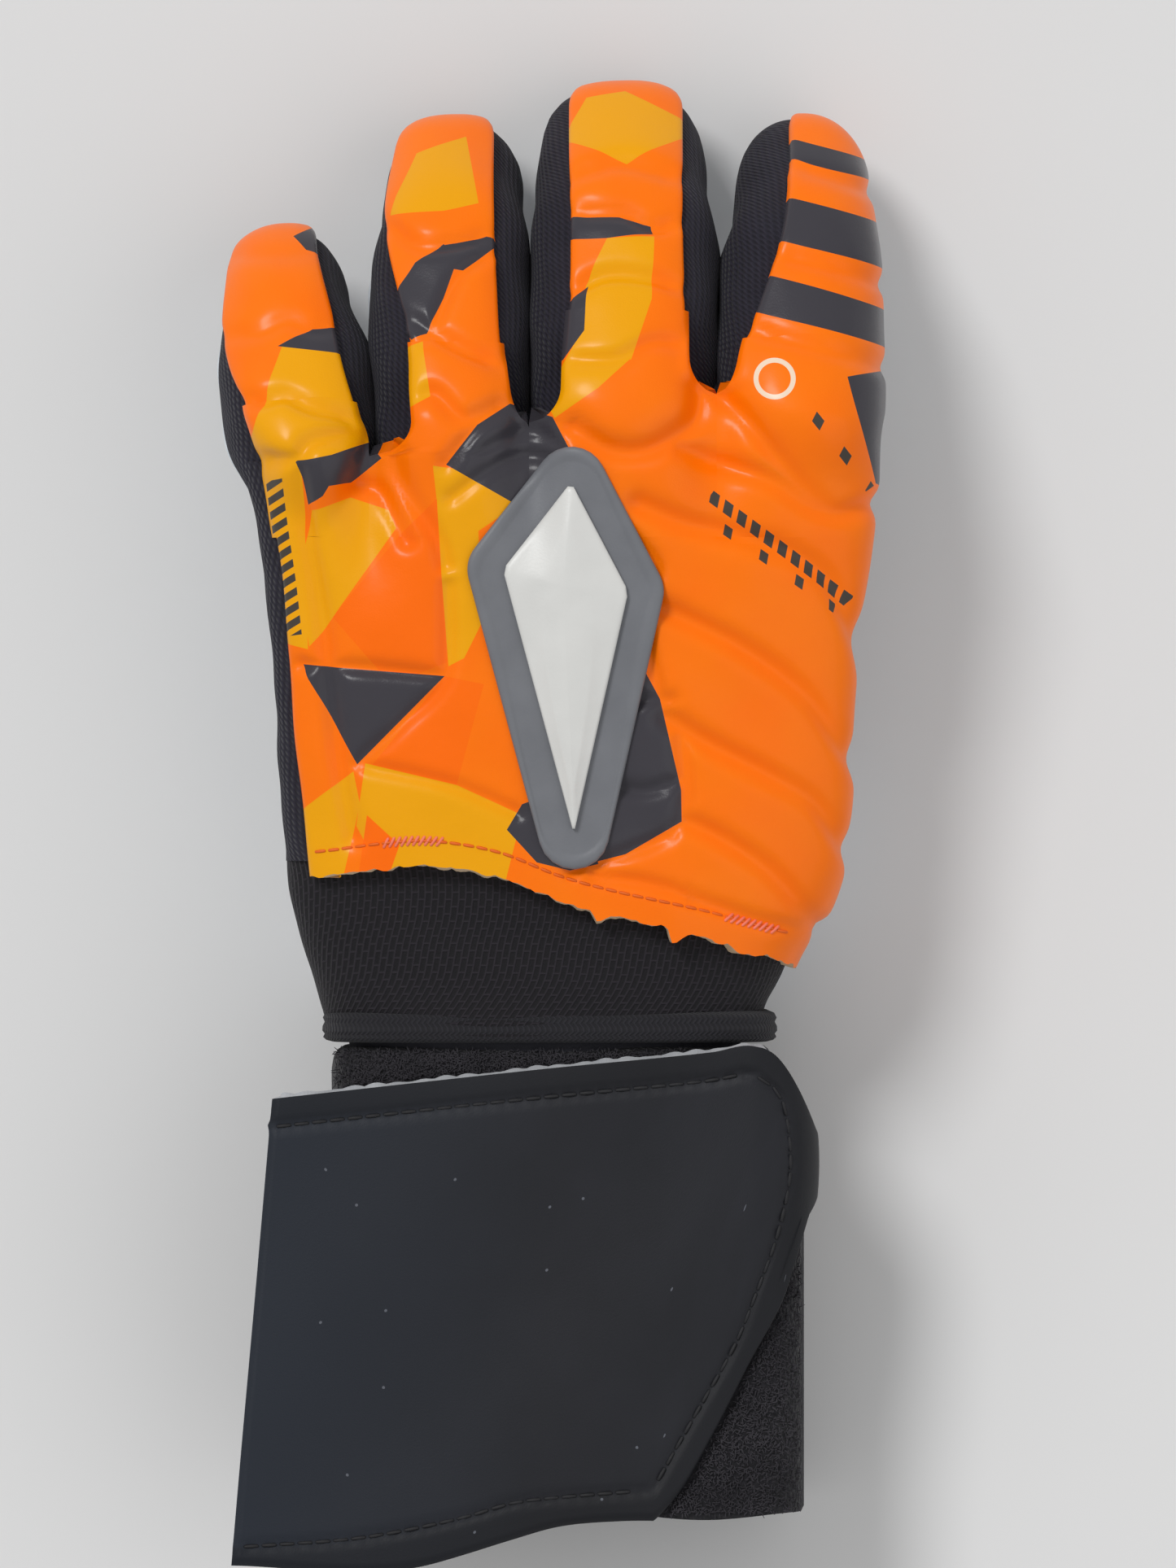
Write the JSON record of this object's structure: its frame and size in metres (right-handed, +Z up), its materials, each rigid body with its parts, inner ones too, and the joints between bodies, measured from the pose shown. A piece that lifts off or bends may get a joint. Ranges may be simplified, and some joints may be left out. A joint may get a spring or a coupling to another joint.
{
  "type": "goalkeeper glove",
  "caption": "Left-hand goalkeeper glove lying palm down: embossed foam backhand, latex palm, mesh gussets, jointed fingers and thumb, bandage cuff and closure strap.",
  "frame": {"origin": "middle of the glove's footprint, on the surface that it lies on", "axes": "+X across the hand towards the index finger, +Y from the cuff towards the fingertips, +Z up, out of the back of the hand"},
  "size_m": [0.1218, 0.275, 0.0626],
  "materials": {
    "backhand_foam": "satin",
    "grip_latex": "matte",
    "gusset_mesh": "matte",
    "air_mesh": "matte",
    "lining_cloth": "matte",
    "badge_rubber": "satin",
    "badge_white": "satin",
    "elastic": "matte",
    "loop_pile": "matte",
    "strap_face": "satin",
    "hook_tape": "matte"
  },
  "bodies": {
    "hand": {"backhand_panel": "backhand_foam", "backhand_lining": "lining_cloth", "badge_plate": "badge_rubber", "badge_face": "badge_white", "palm_latex": "grip_latex", "palm_lining": "lining_cloth", "side_gusset_little": "gusset_mesh", "side_gusset_index": "gusset_mesh", "web_little_ring": "gusset_mesh", "web_ring_middle": "gusset_mesh", "web_middle_index": "gusset_mesh", "wrist_mesh": "air_mesh", "wrist_band": "elastic", "cuff_bandage": "loop_pile", "strap_band": "strap_face", "thumb_pouch": "grip_latex"},
    "little_base": {"little_base_back": "backhand_foam", "little_base_latex": "grip_latex", "little_base_gusset": "gusset_mesh"},
    "little_tip": {"little_tip_back": "backhand_foam", "little_tip_latex": "grip_latex", "little_tip_gusset": "gusset_mesh"},
    "ring_base": {"ring_base_back": "backhand_foam", "ring_base_latex": "grip_latex", "ring_base_gusset": "gusset_mesh"},
    "ring_tip": {"ring_tip_back": "backhand_foam", "ring_tip_latex": "grip_latex", "ring_tip_gusset": "gusset_mesh"},
    "middle_base": {"middle_base_back": "backhand_foam", "middle_base_latex": "grip_latex", "middle_base_gusset": "gusset_mesh"},
    "middle_tip": {"middle_tip_back": "backhand_foam", "middle_tip_latex": "grip_latex", "middle_tip_gusset": "gusset_mesh"},
    "index_base": {"index_base_back": "backhand_foam", "index_base_latex": "grip_latex", "index_base_gusset": "gusset_mesh"},
    "index_tip": {"index_tip_back": "backhand_foam", "index_tip_latex": "grip_latex", "index_tip_gusset": "gusset_mesh"},
    "thumb_base": {"thumb_base_back": "backhand_foam", "thumb_base_latex": "grip_latex", "thumb_base_gusset": "gusset_mesh"},
    "thumb_tip": {"thumb_tip_back": "backhand_foam", "thumb_tip_latex": "grip_latex", "thumb_tip_gusset": "gusset_mesh"},
    "strap_flap": {"strap_panel": "strap_face", "strap_edge_tape": "elastic", "strap_elastic": "loop_pile", "strap_hook_patch": "hook_tape"}
  },
  "joints": [
    {"name": "little_knuckle", "type": "hinge", "parent": "hand", "child": "little_base", "pos_m": [-0.0455, 0.0635, 0.042], "axis": [-1, 0, 0], "range_deg": [-15, 45], "stiffness_Nm_per_rad": 0.15},
    {"name": "little_middle", "type": "hinge", "parent": "little_base", "child": "little_tip", "pos_m": [-0.0455, 0.09046, 0.02885], "axis": [-1, 0, 0], "range_deg": [-15, 45], "stiffness_Nm_per_rad": 0.1},
    {"name": "ring_knuckle", "type": "hinge", "parent": "hand", "child": "ring_base", "pos_m": [-0.01825, 0.0695, 0.042], "axis": [-1, 0, 0], "range_deg": [-15, 45], "stiffness_Nm_per_rad": 0.15},
    {"name": "ring_middle", "type": "hinge", "parent": "ring_base", "child": "ring_tip", "pos_m": [-0.01825, 0.10427, 0.02934], "axis": [-1, 0, 0], "range_deg": [-15, 45], "stiffness_Nm_per_rad": 0.1},
    {"name": "middle_knuckle", "type": "hinge", "parent": "hand", "child": "middle_base", "pos_m": [0.01345, 0.0735, 0.042], "axis": [-1, 0, 0], "range_deg": [-15, 45], "stiffness_Nm_per_rad": 0.15},
    {"name": "middle_middle", "type": "hinge", "parent": "middle_base", "child": "middle_tip", "pos_m": [0.01345, 0.10932, 0.02932], "axis": [-1, 0, 0], "range_deg": [-15, 45], "stiffness_Nm_per_rad": 0.1},
    {"name": "index_knuckle", "type": "hinge", "parent": "hand", "child": "index_base", "pos_m": [0.04595, 0.0705, 0.042], "axis": [-1, 0, 0], "range_deg": [-15, 45], "stiffness_Nm_per_rad": 0.15},
    {"name": "index_middle", "type": "hinge", "parent": "index_base", "child": "index_tip", "pos_m": [0.04595, 0.10433, 0.02969], "axis": [-1, 0, 0], "range_deg": [-15, 45], "stiffness_Nm_per_rad": 0.1},
    {"name": "thumb_swing", "type": "hinge", "parent": "hand", "child": "thumb_base", "pos_m": [0.031, 0.0145, 0.0116], "axis": [0, 0, -1], "range_deg": [0, 50]},
    {"name": "thumb_bend", "type": "hinge", "parent": "thumb_base", "child": "thumb_tip", "pos_m": [0.02724, 0.04124, 0.0105], "axis": [-0.9903, -0.1392, 0], "range_deg": [0, 45], "stiffness_Nm_per_rad": 0.1},
    {"name": "strap_opening", "type": "hinge", "parent": "hand", "child": "strap_flap", "pos_m": [0.0462, -0.0855, 0.0463], "axis": [0, 1, 0], "range_deg": [0, 120]}
  ]
}
